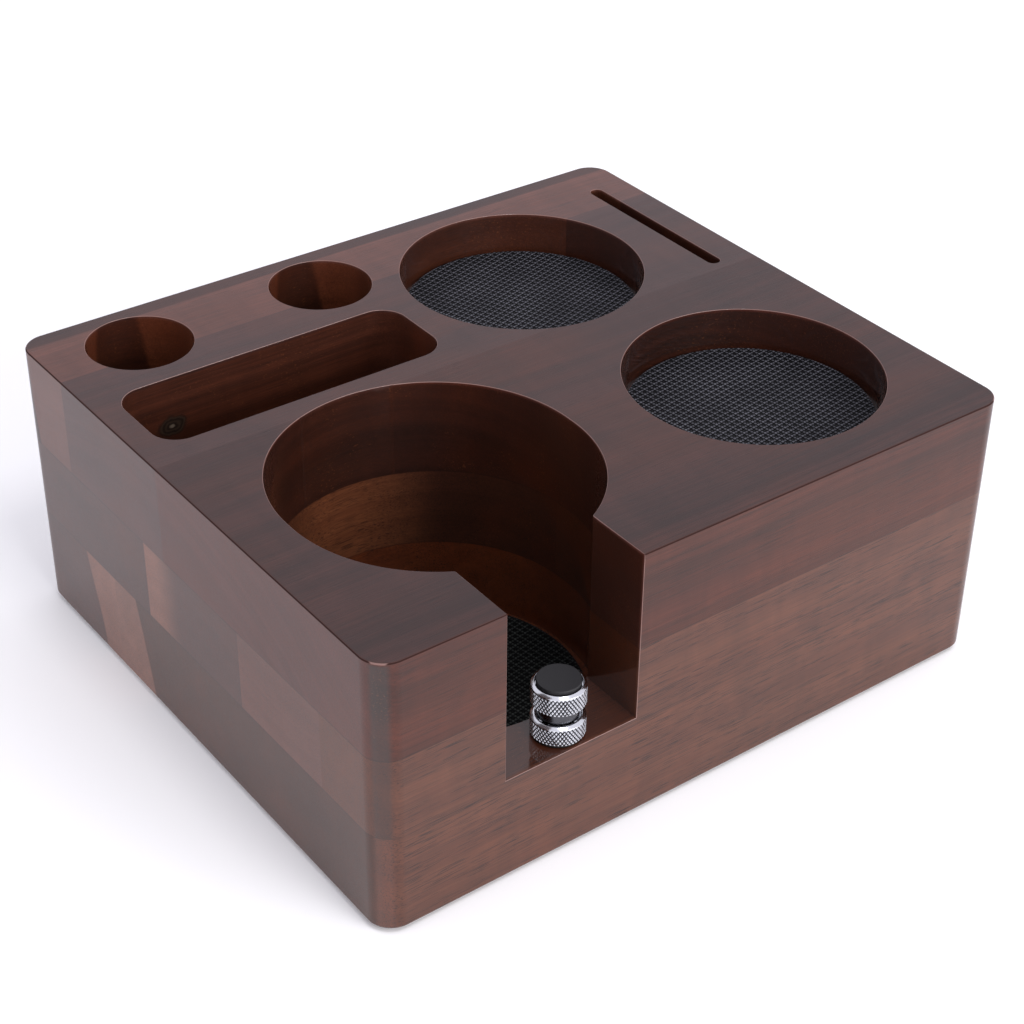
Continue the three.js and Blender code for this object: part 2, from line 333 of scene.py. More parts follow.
def cut_hollows(block):
    """Cuts the well, pockets, holes, tray, slot and every bore and foot recess."""
    well_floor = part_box("well_mat")[0].z - FLOOR_GAP
    tray_floor = MOUNTS["tray_floor"]
    tools = [
        hollow(notched_well_outline, NOTCH_FLOOR_Z),
        notch_mouth(),
        loft("cut", [
            [(x, y, z) for x, y in well_outline(0)]
            for z in (well_floor, NOTCH_FLOOR_Z + 5 * MM)
        ]),
        hollow(circle_outline(REAR_POCKET, REAR_POCKET_RADIUS), POCKET_FLOOR_Z),
        hollow(circle_outline(FRONT_POCKET, FRONT_POCKET_RADIUS), POCKET_FLOOR_Z),
        hollow(rounded_outline(tray_floor, TRAY_SIZE, TRAY_CORNER), tray_floor.z),
    ]
    for name in ("left_hole_floor", "right_hole_floor"):
        centre = MOUNTS[name]
        tools.append(hollow(circle_outline(centre, HOLE_RADIUS, HOLE_TURN), centre.z))
    slot = MOUNTS["slot_floor"]
    slot_outline = rounded_outline(slot, SLOT_SIZE, SLOT_SIZE[0] / 2 - 0.01 * MM, 8)
    tools.append(hollow(slot_outline, slot.z, SLOT_EASE))
    radius, low_z, high_z = round_size("threaded_insert")
    tools.append(disc_tool(POST_AXIS, radius + INSERT_RECESS, low_z, NOTCH_FLOOR_Z + MM))
    tools.append(disc_tool(POST_AXIS, STUD_HOLE_RADIUS, low_z - STUD_HOLE_DEPTH, high_z))
    for name in FEET:
        radius, _, high_z = round_size(name)
        tools.append(disc_tool(middle_of(name), radius + FOOT_RECESS, BASE_Z - OVERCUT,
                               high_z + FLOOR_GAP, FOOT_TURN))
    for tool in tools:
        boolean(block, tool, "DIFFERENCE")
        discard(tool)


def board_region(node):
    """Box round one board: exact at its glue faces, and past the block elsewhere."""
    low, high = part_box(node)
    low_x = low.x
    high_x = high.x
    if node.endswith("left_board"):
        high_x = WELL_CENTRE.x
    if node.endswith("right_board"):
        low_x = WELL_CENTRE.x
    limits = [
        (low_x, high_x, LEFT_X, RIGHT_X),
        (low.y, high.y, FRONT_Y, REAR_Y),
        (low.z, high.z, BASE_Z, TOP_Z),
    ]
    spans = []
    for start, end, outer_start, outer_end in limits:
        start = start - OVERCUT if abs(start - outer_start) < FLOOR_GAP else start
        end = end + OVERCUT if abs(end - outer_end) < FLOOR_GAP else end
        spans.append((start, end))
    (x0, x1), (y0, y1), (z0, z1) = spans
    square = [(x0, y0), (x1, y0), (x1, y1), (x0, y1)]
    return loft("region", [[(x, y, z) for x, y in square] for z in (z0, z1)])


def make_boards():
    """The whole block cut apart into its boards, by CAD node."""
    block = block_body()
    cut_hollows(block)
    boards = {}
    for node in BOARDS:
        piece = copy_of(block, node.replace("_board", "_wood"))
        region = board_region(node)
        boolean(piece, region, "INTERSECT")
        discard(region)
        shade(piece)
        boards[node] = piece
    discard(block)
    return boards


# ---- Material graphs ----------------------------------------------------------------------


class Graph:
    """Builds a material, each node linked to its inputs as it is added."""

    def __init__(self, name):
        self.material = bpy.data.materials.new(name)
        self.material.use_nodes = True
        self.tree = self.material.node_tree
        self.tree.nodes.clear()

    def add(self, kind, inputs=None, **settings):
        node = self.tree.nodes.new(kind)
        for key, value in settings.items():
            setattr(node, key, value)
        for key, value in (inputs or {}).items():
            if isinstance(value, bpy.types.NodeSocket):
                self.tree.links.new(value, node.inputs[key])
            else:
                node.inputs[key].default_value = value
        return node

    def place(self, scale=(1, 1, 1), offset=(0, 0, 0)):
        """Position in the shared frame, in millimetres, times a scale for each axis."""
        coordinates = self.add("ShaderNodeTexCoord").outputs["Object"]
        mapping = self.add("ShaderNodeMapping", {
            "Vector": coordinates,
            "Scale": tuple(1000 * s for s in scale),
            "Location": offset,
        })
        return mapping.outputs[0]

    def split(self, vector):
        return tuple(self.add("ShaderNodeSeparateXYZ", {0: vector}).outputs)

    def facing(self):
        """The x, y and z of the direction in which the surface faces."""
        return self.split(self.add("ShaderNodeNewGeometry").outputs["Normal"])

    def math(self, operation, first, second=0.0, third=0.0):
        inputs = {0: first, 1: second, 2: third}
        return self.add("ShaderNodeMath", inputs, operation=operation).outputs[0]

    def line(self, value, slope, start):
        """The value times the slope, plus the start."""
        return self.math("MULTIPLY_ADD", value, slope, start)

    def product(self, first, *others):
        for other in others:
            first = self.math("MULTIPLY", first, other)
        return first

    def inverse(self, share):
        """What a share leaves of 1."""
        return self.math("SUBTRACT", 1.0, share)

    def gap(self, value, target):
        """How far a value is from a target, either way."""
        return self.math("ABSOLUTE", self.math("SUBTRACT", value, target))

    def length(self, first, second):
        """Length of a vector with these two parts."""
        return self.math("SQRT", self.line(first, first, self.product(second, second)))

    def step(self, value, start, end):
        """Smooth step from 0 at start to 1 at end."""
        inputs = {"Value": value, "From Min": start, "From Max": end}
        settings = {"interpolation_type": "SMOOTHSTEP"}
        return self.add("ShaderNodeMapRange", inputs, **settings).outputs[0]

    def fall(self, value, start, end):
        """Smooth step from 1 at start to 0 at end."""
        return self.inverse(self.step(value, start, end))

    def noise(self, vector, detail=2.0, roughness=0.5, distortion=0.0):
        inputs = {
            "Vector": vector,
            "Scale": 1.0,
            "Detail": detail,
            "Roughness": roughness,
            "Distortion": distortion,
        }
        return self.add("ShaderNodeTexNoise", inputs).outputs["Fac"]

    def mix(self, factor, first, second, blend="MIX"):
        node = self.add("ShaderNodeMix", data_type="RGBA", blend_type=blend)
        for socket, value in ((0, factor), (6, first), (7, second)):
            if isinstance(value, bpy.types.NodeSocket):
                self.tree.links.new(value, node.inputs[socket])
            else:
                node.inputs[socket].default_value = value
        return node.outputs[2]

    def tint(self, colour, other):
        return self.mix(1.0, colour, other, "MULTIPLY")

    def dim(self, colour, level):
        """A colour at another brightness."""
        grey = self.add("ShaderNodeCombineColor", {0: level, 1: level, 2: level})
        return self.tint(colour, grey.outputs[0])

    def bump(self, height, strength, distance):
        inputs = {"Height": height, "Strength": strength, "Distance": distance}
        return self.add("ShaderNodeBump", inputs).outputs[0]

    def surface(self, **inputs):
        values = {key.replace("_", " "): value for key, value in inputs.items()}
        shader = self.add("ShaderNodeBsdfPrincipled", values)
        output = self.add("ShaderNodeOutputMaterial")
        self.tree.links.new(shader.outputs[0], output.inputs["Surface"])
        return self.material


def srgb(red, green, blue):
    """A colour given as 0 to 255 display values, as linear values with alpha."""
    channels = []
    for value in (red, green, blue):
        share = value / 255
        channels.append(share / 12.92 if share < 0.04045 else ((share + 0.055) / 1.055) ** 2.4)
    return (*channels, 1.0)


# ---- Wood ---------------------------------------------------------------------------------

WHITE = (1.0, 1.0, 1.0, 1.0)
SAP = srgb(126, 84, 68)
SAP_SHADE = srgb(112, 72, 58)
HEARTWOOD = srgb(56, 31, 26)
HEARTWOOD_SHADE = srgb(48, 26, 22)
WARM_GLOW = srgb(92, 42, 18)
# Painted highlight: the pale line on the eased rims.
RIM_HIGHLIGHT = srgb(158, 126, 118)
# Painted shade: the dark red line along the block's top edge.
EDGE_SHADE = srgb(38, 11, 6)
FLECK = srgb(120, 70, 38)
PORE = srgb(22, 11, 8)
KNOT_DARK = srgb(8, 7, 6)
KNOT_LIGHT = srgb(58, 48, 38)
KNOT_HEART = srgb(120, 108, 94)

# How much of each of these colours shows where it lies.
GLOW_SHARE = 0.2
FLECK_SHARE = 0.3
GLUE_SHARE = 0.4
RIM_HIGHLIGHT_SHARE = 0.55
EDGE_SHADE_SHARE = 0.95

# Painted shade: the tint that darkens and reddens the inner walls.
INNER_SHADE_TINT = (0.8, 0.6, 0.36, 1.0)
INNER_COAT = 1.0

# The tray and the two tool holes lie left of the middle and behind this y. They are narrow
# and get little light, so painted light brightens their walls by this factor.
NARROW_Y = 16.5 * MM
NARROW_GAIN = 1.9


def wood(name, dark, light, heart, bands=(), pores=0.6, end_grain_and_sheen=1.0, streaks=0.7,
         side=WHITE, inner=0.75, coat=0.5, knot=None):
    """Lacquered hardwood with its grain along X.

    heart is (y, z) of the rings' centre in mm, and bands are the stripes that lay_band adds.
    pores is how dark the pores are, end_grain_and_sheen how bright the cut ends of the fibres are
    beside the rest, partly their own look and partly painted sheen, and streaks the strength of
    the fine grain. side is a tint on the upright faces that run along the grain, painted light
    that makes them redder and brighter, inner is how bright the inner walls are painted, a level
    of painted shade, and coat is the lacquer's weight outside. knot is the x, y, z and size of a
    knot in mm.
    """
    g = Graph(name)
    x, y, z = g.split(g.place())
    along, across, _ = g.facing()
    inside = inner_share(g, x, y, z)
    fibre = g.noise(g.place((0.014, 1.0, 1.0), (heart[0], 0, 0)), 4.0, 0.65)
    hair = g.noise(g.place((0.05, 2.6, 2.6), (0, heart[0], 0)), 3.0, 0.65)

    # The rings are calmer where the surface cuts straight across the grain.
    end_on = g.product(along, along)
    rings = ring_tone(g, y, z, heart)
    tone = g.line(g.math("SUBTRACT", rings, 0.5), g.line(end_on, -0.7, 1.0), 0.5)
    # End faces brightened: partly the end grain's own look, partly painted sheen.
    cut = g.product(end_on, g.line(inside, -0.85, 1.0))
    colour = g.dim(g.mix(tone, dark, light), g.line(cut, end_grain_and_sheen - 1.0, 1.0))
    # Painted light: a tint on the faces along the grain that look to the front and rear.
    upright = g.product(across, across, g.inverse(inside))
    colour = g.mix(upright, colour, g.tint(colour, side))
    for band in bands:
        colour = lay_band(g, colour, tone, y, z, *band)
    patch = g.noise(g.place((0.012, 0.04, 0.04), (3.1, 0.4, heart[1])), 2.0)
    colour = g.mix(g.product(g.step(patch, 0.45, 0.7), GLOW_SHARE), colour, WARM_GLOW)
    colour = g.dim(colour, grain_shade(g, fibre, hair, heart, streaks))
    colour = shade_and_fleck_inside(g, colour, x, y, inside, inner, heart)

    pore = pore_share(g, heart)
    colour = g.mix(g.product(pore, pores), colour, PORE)
    for glue_z in (LOWER_GLUE_Z, UPPER_GLUE_Z):
        seam = g.fall(g.gap(z, glue_z / MM), 0.06, 0.3)
        colour = g.mix(g.product(seam, GLUE_SHARE), colour, PORE)
    if knot:
        colour = add_knot(g, colour, *knot)
    # Painted shade on the block's top edge; there the coat is left off and the surface made
    # rough.
    colour, shaded_edge = painted_edge_lines(g, x, y, z, colour)

    relief = g.math("SUBTRACT", g.line(fibre, 0.4, g.product(hair, 0.2)), pore)
    gloss = g.math("MAXIMUM", g.line(fibre, 0.16, 0.42), g.product(shaded_edge, 0.9))
    lacquer = g.product(g.line(inside, INNER_COAT - coat, coat), g.inverse(shaded_edge))
    return g.surface(Base_Color=colour, Roughness=gloss, Normal=g.bump(relief, 0.2, 0.0001),
                     Specular_IOR_Level=0.22, Coat_Weight=lacquer, Coat_Roughness=0.05,
                     Coat_Normal=g.bump(g.product(pore, -1.0), 0.05, 0.0001))


def inner_share(g, x, y, z):
    """1 on the routed walls and floors inside the block, where shade is painted into the colour.
    """
    return g.product(
        g.step(z, BASE_Z / MM + 0.3, BASE_Z / MM + 1.2),
        g.fall(z, TOP_Z / MM - 1.2, TOP_Z / MM - 0.3),
        g.fall(g.math("ABSOLUTE", x), RIGHT_X / MM - 1.2, RIGHT_X / MM - 0.3),
        g.fall(g.math("ABSOLUTE", y), REAR_Y / MM - 1.2, REAR_Y / MM - 0.3))


def ring_tone(g, y, z, heart):
    """0 in the dark growth rings and 1 in the light ones, with a slow wander of the grain."""
    wander = g.noise(g.place((0.007, 0.03, 0.03), (heart[0], 0, heart[1])), 2.0)
    from_y = g.math("ADD", g.math("SUBTRACT", y, float(heart[0])), g.line(wander, 22.0, -11.0))
    radius = g.length(from_y, g.math("SUBTRACT", z, float(heart[1])))
    broad = rings_of(g, radius, 0.13, 2.0)
    fine = rings_of(g, radius, 0.9, 3.0)
    return g.step(g.line(broad, 0.7, g.product(fine, 0.3)), 0.36, 0.64)


def rings_of(g, radius, per_mm, detail):
    """Uneven growth rings: noise along the distance from the middle of the log."""
    inputs = {"W": g.product(radius, per_mm), "Scale": 1.0, "Detail": detail, "Roughness": 0.6}
    return g.add("ShaderNodeTexNoise", inputs, noise_dimensions="1D").outputs["Fac"]


def lay_band(g, colour, tone, y, z, low, high, lean, fade, dark, light):
    """A stripe of sapwood or heartwood from low to high y, in mm at the base.

    It leans by lean mm of y for each mm of height, and its lower edge fades over fade mm.
    """
    waver = g.line(g.noise(g.place((0.008, 0.05, 0.05)), 1.0), 2.0, -1.0)
    place = g.math("ADD", g.math("SUBTRACT", y, g.product(z, lean)), waver)
    band = g.product(g.step(place, low - fade, low + fade), g.fall(place, high - 0.5, high + 0.5))
    return g.mix(band, colour, g.mix(tone, dark, light))


def grain_shade(g, fibre, hair, heart, streaks):
    """Brightness of the fine grain: long fibres, thin streaks and slow bars across them."""
    bars = g.noise(g.place((0.11, 0.03, 0.03), (heart[1], 0, 0)), 3.0, 0.55, 0.6)
    fine = g.line(hair, 1.5 * streaks, 1 - 0.75 * streaks)
    return g.product(g.line(fibre, 0.6, 0.7), fine, g.line(bars, 0.6, 0.7))


def shade_and_fleck_inside(g, colour, x, y, inside, inner, heart):
    """Painted shade on the inner walls, with pale flecks where the lacquer lies thick."""
    at = NARROW_Y / MM
    narrow = g.product(g.fall(x, -1.0, 1.0), g.step(y, at - 1.0, at + 1.0))
    level = g.line(narrow, inner * (NARROW_GAIN - 1), inner)
    # Painted shade in the hollows, at the level given.
    colour = g.mix(inside, colour, g.dim(g.tint(colour, INNER_SHADE_TINT), level))
    fleck = g.noise(g.place((1.1, 2.0, 2.0), (heart[0], 0, 7)), 2.0, 0.6)
    thick = g.noise(g.place((0.06, 0.06, 0.06), (2, heart[1], 5)), 2.0)
    fleck = g.product(g.step(fleck, 0.6, 0.7), g.step(thick, 0.45, 0.6), inside)
    return g.mix(g.product(fleck, FLECK_SHARE), colour, FLECK)


def pore_share(g, heart):
    """1 in the open pores: thin dark dashes along the grain, in loose clusters."""
    dash = g.noise(g.place((0.14, 4.4, 4.4), (0, heart[0], heart[1])), 1.0, 0.4)
    cluster = g.noise(g.place((0.02, 0.2, 0.2), (9, 1, 4)), 2.0)
    return g.product(g.step(dash, 0.57, 0.64), g.step(cluster, 0.32, 0.52))


def painted_edge_lines(g, x, y, z, colour):
    """Painted light on the eased edges: a pale highlight round the hollows, dark red shade round
    the block.

    Also gives 1 along the block's own top edge, where a dark red line of painted shade lies and
    the coat is left off.
    """
    along, _, up = g.facing()
    tilt = g.product(g.step(up, 0.12, 0.3), g.fall(up, 0.85, 0.96))
    # Painted highlight: a pale line on the rims of the hollows.
    colour = g.mix(g.product(tilt, RIM_HIGHLIGHT_SHARE), colour, RIM_HIGHLIGHT)
    outer = g.math("MAXIMUM",
                   g.step(g.math("ABSOLUTE", x), RIGHT_X / MM - 1.2, RIGHT_X / MM - 0.8),
                   g.step(g.math("ABSOLUTE", y), REAR_Y / MM - 1.2, REAR_Y / MM - 0.8))
    shaded_block_edge = g.product(tilt, outer, g.step(z, TOP_Z / MM - 2.0, TOP_Z / MM - 1.0))
    # Painted shade: a dark red line along the block's own top edge.
    colour = g.mix(g.product(shaded_block_edge, EDGE_SHADE_SHARE), colour, EDGE_SHADE)
    half = NOTCH_WIDTH / 2 / MM
    turned = g.math("ABSOLUTE", along)
    # Painted highlight also on the rounded upright edges of the notch's mouth.
    mouth = g.product(
        g.step(turned, 0.2, 0.4),
        g.fall(turned, 0.9, 0.98),
        g.fall(g.gap(x, NOTCH_CENTRE_X / MM), half + 0.8, half + 1.0),
        g.fall(y, FRONT_Y / MM + 0.9, FRONT_Y / MM + 1.3))
    return g.mix(g.product(mouth, RIM_HIGHLIGHT_SHARE), colour, RIM_HIGHLIGHT), shaded_block_edge


def add_knot(g, colour, x, y, z, size):
    """A small round knot that shows on the wall facing -Y at the given x, y and z in mm."""
    spot_x, spot_y, spot_z = g.split(g.place())
    wobble = g.line(g.noise(g.place((0.35, 0.35, 0.35)), 2.0), 2.4, -1.2)
    from_x = g.math("SUBTRACT", spot_x, x)
    from_z = g.product(g.math("SUBTRACT", spot_z, z), 1.35)
    distance = g.math("ADD", g.length(from_x, from_z), wobble)
    near = g.fall(g.gap(spot_y, y), 5.0, 9.0)
    ring = g.math("SINE", g.product(distance, 4.2))
    bark = g.mix(g.line(ring, 0.3, 0.35), KNOT_DARK, KNOT_LIGHT)
    disc = g.product(g.fall(distance, size * 0.75, size * 1.15), near)
    colour = g.mix(g.product(disc, 0.92), colour, bark)
    heart = g.product(g.fall(distance, 0.2, 1.1), near)
    return g.mix(g.product(heart, 0.7), colour, KNOT_HEART)


def wood_materials():
    """The wood of each board, by CAD node."""
    plum = {"dark": srgb(50, 27, 23), "light": srgb(64, 36, 31), "end_grain_and_sheen": 1.6}
    deep_plum = {"dark": srgb(44, 23, 19), "light": srgb(58, 31, 26), "end_grain_and_sheen": 2.5,
                 "side": (1.5, 1.02, 0.68, 1.0), "coat": 0.41}
    brown = {"dark": srgb(52, 30, 25), "light": srgb(64, 38, 32), "end_grain_and_sheen": 1.5}
    dusky = {"dark": srgb(64, 37, 30), "light": srgb(78, 46, 37), "end_grain_and_sheen": 1.8}
    rosy = {"dark": srgb(82, 47, 38), "light": srgb(96, 57, 47), "end_grain_and_sheen": 1.1}
    front = {"dark": srgb(79, 43, 29), "light": srgb(87, 49, 33), "streaks": 0.55}
    sapwood = [(23.0, 51.0, 0.24, 0.5, SAP_SHADE, SAP)]
    rear_heart = [(75.0, 99.0, 0.1, 0.5, HEARTWOOD_SHADE, HEARTWOOD)]
    pale_edge = [(10.5, 22.5, 0.0, 7.0, SAP_SHADE, SAP)]
    knot = (-75.7, 48.1, 67.8, 4.4)
    # inner sets how bright each board's inner walls are painted.
    top = wood("wood_top_front", **deep_plum, heart=(20, -60), pores=0.3, inner=0.85)
    tray = wood("wood_top_tray", **plum, heart=(20, -60), pores=0.3, inner=0.8, knot=knot)
    middle = wood("wood_middle_front", **dusky, heart=(-44, 90), inner=0.8)
    return {
        "top_rear_board": wood("wood_top_rear", **rosy, heart=(60, -30), bands=rear_heart,
                               pores=0.3, inner=0.6),
        "top_tray_board": tray,
        "top_left_board": top,
        "top_right_board": top,
        "middle_rear_board": wood("wood_middle_rear", **brown, heart=(60, 110), inner=0.9),
        "middle_centre_board": wood("wood_middle_centre", **brown, heart=(0, -40),
                                    bands=pale_edge, inner=1.0),
        "middle_left_board": middle,
        "middle_right_board": middle,
        "middle_edge_board": wood("wood_middle_edge", **front, heart=(-75, -60), pores=0.7,
                                  end_grain_and_sheen=1.1, inner=0.7),
        "bottom_rear_board": wood("wood_bottom_rear", **brown, heart=(80, -50), bands=sapwood),
        "bottom_front_board": wood("wood_bottom_front", **front, heart=(-70, -90),
                                   bands=sapwood, pores=0.7, end_grain_and_sheen=0.65, inner=1.3),
    }


# ---- Woven mats ---------------------------------------------------------------------------

THREAD = 1.0 * MM
THIN_DROP = 0.14 * MM
HOLE_DROP = 0.3 * MM
THREAD_ROUND = 0.3 * MM
RIM_DROP = 0.2 * MM
RIM_THREADS = 0.8
SAMPLES_PER_THREAD = 4
WEAVE_SHARP = math.radians(75)

# Painted shade in the weave's gaps.
MAT_GAP_SHADE = srgb(5, 5, 6)
MAT_GREY = (srgb(84, 84, 90), srgb(100, 100, 107))
MAT_BLACK = (srgb(50, 53, 51), srgb(62, 65, 63))


def weave_height(u, v):
    """Height of the weave over positions in thread widths.

    Every second thread each way is thick. Two thick ones make a high knot where they cross,
    and between four knots there is a deep hole.
    """
    warp = np.round(u)
    weft = np.round(v)
    across = np.clip(1 - (2 * (u - warp)) ** 2, 0, 1)
    along = np.clip(1 - (2 * (v - weft)) ** 2, 0, 1)
    thin = warp % 2 + weft % 2
    drop = np.choose(thin.astype(int), (0.0, THIN_DROP, HOLE_DROP))
    return THREAD_ROUND * (np.sqrt(across * along) - 1) - drop


def woven_slab(name, node, turn):
    """Square slab whose top is the weave, a little larger than the mat.

    The weave is pressed flat in a narrow band round the mat's rim.
    """
    centre = middle_of(node)
    radius, low_z, high_z = round_size(node)
    threads = math.ceil(radius / THREAD) + 1
    line = np.linspace(-threads, threads, 2 * threads * SAMPLES_PER_THREAD + 1)
    u, v = np.meshgrid(line, line)
    angle = math.radians(turn)
    x = centre.x + THREAD * (u * math.cos(angle) - v * math.sin(angle))
    y = centre.y + THREAD * (u * math.sin(angle) + v * math.cos(angle))
    inside = np.clip((radius / THREAD - np.hypot(u, v)) / RIM_THREADS, 0, 1)
    z = high_z - RIM_DROP + inside * (weave_height(u, v) + RIM_DROP)
    top = np.stack([x, y, z], -1).reshape(-1, 3)
    wide = len(line)
    index = np.arange(wide * wide).reshape(wide, wide)
    quads = np.stack([index[:-1, :-1], index[:-1, 1:], index[1:, 1:], index[1:, :-1]], -1)
    faces = [tuple(quad) for quad in quads.reshape(-1, 4).tolist()]
    border = [*index[0, :-1], *index[:-1, -1], *index[-1, :0:-1], *index[:0:-1, 0]]
    base = wide * wide
    lower = top[border] * (1, 1, 0) + (0, 0, low_z)
    count = len(border)
    for i in range(count):
        j = (i + 1) % count
        faces.append((base + i, base + j, int(border[j]), int(border[i])))
    faces.append(tuple(base + i for i in reversed(range(count))))
    return new_piece(name, np.vstack([top, lower]), faces)


def mat_rubber(name, centre, top_z, turn, dark, light):
    """Woven rubber: satin threads, with painted shade down in the gaps between them."""
    g = Graph(name)
    height = g.split(g.place())[2]
    top = top_z / MM
    # Painted shade: dark below the threads' tops and in the gaps between threads.
    lit = g.step(height, top - 0.42, top - 0.02)
    laid = g.add("ShaderNodeMapping", {
        "Vector": g.add("ShaderNodeTexCoord").outputs["Object"],
        "Location": tuple(centre),
        "Rotation": (0, 0, math.radians(turn)),
        "Scale": (THREAD, THREAD, 1),
    }, vector_type="TEXTURE")
    for threads in g.split(laid.outputs[0])[:2]:
        aside = g.gap(threads, g.math("ROUND", threads))
        lit = g.product(lit, g.fall(aside, 0.24, 0.46))
    dust = g.noise(g.place((0.07, 0.07, 0.07)), 3.0, 0.6)
    colour = g.mix(lit, MAT_GAP_SHADE, g.mix(g.step(dust, 0.3, 0.7), dark, light))
    fine = g.noise(g.place((5, 5, 5)), 3.0, 0.6)
    return g.surface(Base_Color=colour, Roughness=g.line(fine, 0.16, 0.38),
                     Normal=g.bump(fine, 0.15, 0.00004), Specular_IOR_Level=0.06)


def make_mat(node, turn, colours):
    """A mat whose threads are turned by so many degrees from the block's edges."""
    centre = middle_of(node)
    radius, low_z, high_z = round_size(node)
    piece = woven_slab(node.replace("_mat", "_woven_mat"), node, turn)
    tool = disc_tool(centre, radius, low_z - MM, high_z + MM, FINE_TURN)
    boolean(piece, tool, "INTERSECT")
    discard(tool)
    shade(piece, WEAVE_SHARP)
    material = mat_rubber(node + "_rubber", centre, high_z, turn, *colours)
    finish_piece(piece, node, material)


# ---- Turned pieces ------------------------------------------------------------------------


def revolve(name, profile, centre, count=POST_TURN, closed=False):
    """Body of revolution about the vertical through centre from (radius, height) points."""
    angles = np.linspace(0, 2 * math.pi, count, endpoint=False)
    vertices = []
    rows = []
    for radius, height in profile:
        if radius < ON_AXIS:
            rows.append([len(vertices)])
            vertices.append((centre.x, centre.y, height))
            continue
        rows.append(list(range(len(vertices), len(vertices) + count)))
        for angle in angles:
            x = centre.x + radius * math.cos(angle)
            y = centre.y + radius * math.sin(angle)
            vertices.append((x, y, height))
    pairs = list(zip(rows, rows[1:]))
    if closed:
        pairs.append((rows[-1], rows[0]))
    faces = []
    for lower, upper in pairs:
        faces += band_faces(lower, upper, count)
    return new_piece(name, vertices, faces)


def band_faces(lower, upper, count):
    """Faces between two rows of points, either of which may be one point on the axis."""
    faces = []
    for i in range(count):
        j = (i + 1) % count
        if len(lower) == 1:
            faces.append((lower[0], upper[j], upper[i]))
        elif len(upper) == 1:
            faces.append((lower[i], lower[j], upper[0]))
        else:
            faces.append((lower[i], lower[j], upper[j], upper[i]))
    return faces


def rounded_profile(points, ease, steps=3):
    """Corner points with each corner rounded off; the first and last stay as they are."""
    done = [points[0]]
    for before, corner, after in zip(points, points[1:], points[2:]):
        corner_v = Vector(corner)
        to_before = Vector(before) - corner_v
        to_after = Vector(after) - corner_v
        reach = min(ease, to_before.length * 0.45, to_after.length * 0.45)
        start = corner_v + to_before.normalized() * reach
        end = corner_v + to_after.normalized() * reach
        for step in range(steps + 1):
            t = step / steps
            point = start * (1 - t) ** 2 + corner_v * 2 * t * (1 - t) + end * t * t
            done.append((point.x, point.y))
    done.append(points[-1])
    return done


KNURLS = 44
KNURL_RADIUS = 7 * MM
KNURL_DEPTH = 0.3 * MM
KNURL_FLAT = 0.44
KNURL_ROWS = 6


def knurled(name, before, after, centre, radius, band, closed):
    """Turned body with a band of diamond knurling between two runs of its profile.

    before and after are the (radius, height) points below and above the band.
    """
    pitch = 2 * math.pi / KNURLS
    offsets = (0.0, (1 - KNURL_FLAT) / 2, (1 + KNURL_FLAT) / 2)
    spokes = [(i + share) * pitch for i in range(KNURLS) for share in offsets]
    count = len(spokes)
    vertices = []
    faces = []

    def point(r, angle, z):
        vertices.append((centre.x + r * math.cos(angle), centre.y + r * math.sin(angle), z))
        return len(vertices) - 1

    def ring(r, z):
        if r < ON_AXIS:
            vertices.append((centre.x, centre.y, z))
            return [len(vertices) - 1]
        return [point(r, angle, z) for angle in spokes]

    root = radius - KNURL_DEPTH
    step = (band[1] - band[0]) / KNURL_ROWS
    crossings = []
    for row in range(KNURL_ROWS + 1):
        z = band[0] + row * step
        crossings.append([point(root, (i + row % 2 / 2) * pitch, z) for i in range(KNURLS)])
    borders = {0: [], KNURL_ROWS: []}
    half = KNURL_FLAT / 2
    for row in range(KNURL_ROWS + 1):
        z = band[0] + row * step
        shift = row % 2
        for i in range(KNURLS):
            middle = (i + 0.5 + shift / 2) * pitch
            left = crossings[row][i]
            right = crossings[row][(i + 1) % KNURLS]
            across = (i + shift) % KNURLS
            flat_left = point(radius, middle - half * pitch, z)
            flat_right = point(radius, middle + half * pitch, z)
            if row in borders:
                borders[row] += [left, flat_left, flat_right]
            flat = [flat_left]
            if row > 0:
                below = crossings[row - 1][across]
                flat_below = point(radius, middle, z - 2 * half * step)
                faces.append((left, below, flat_below, flat_left))
                faces.append((below, right, flat_right, flat_below))
                flat.append(flat_below)
            flat.append(flat_right)
            if row < KNURL_ROWS:
                above = crossings[row + 1][across]
                flat_above = point(radius, middle, z + 2 * half * step)
                faces.append((right, above, flat_above, flat_right))
                faces.append((above, left, flat_left, flat_above))
                flat.append(flat_above)
            faces.append(tuple(flat))
    rings = [ring(r, z) for r, z in before] + [borders[0]]
    for lower, upper in zip(rings, rings[1:]):
        faces += band_faces(lower, upper, count)
    upper_rings = [borders[KNURL_ROWS]] + [ring(r, z) for r, z in after]
    for lower, upper in zip(upper_rings, upper_rings[1:]):
        faces += band_faces(lower, upper, count)
    if closed:
        faces += band_faces(upper_rings[-1], rings[0], count)
    return new_piece(name, vertices, faces)


THREAD_PITCH = 1.0 * MM
THREAD_DEPTH = 0.55 * MM
THREAD_RUNOUT = 1.2 * MM
THREAD_TURN = 48
THREAD_SHARP = math.radians(30)
ROWS_PER_PITCH = 10


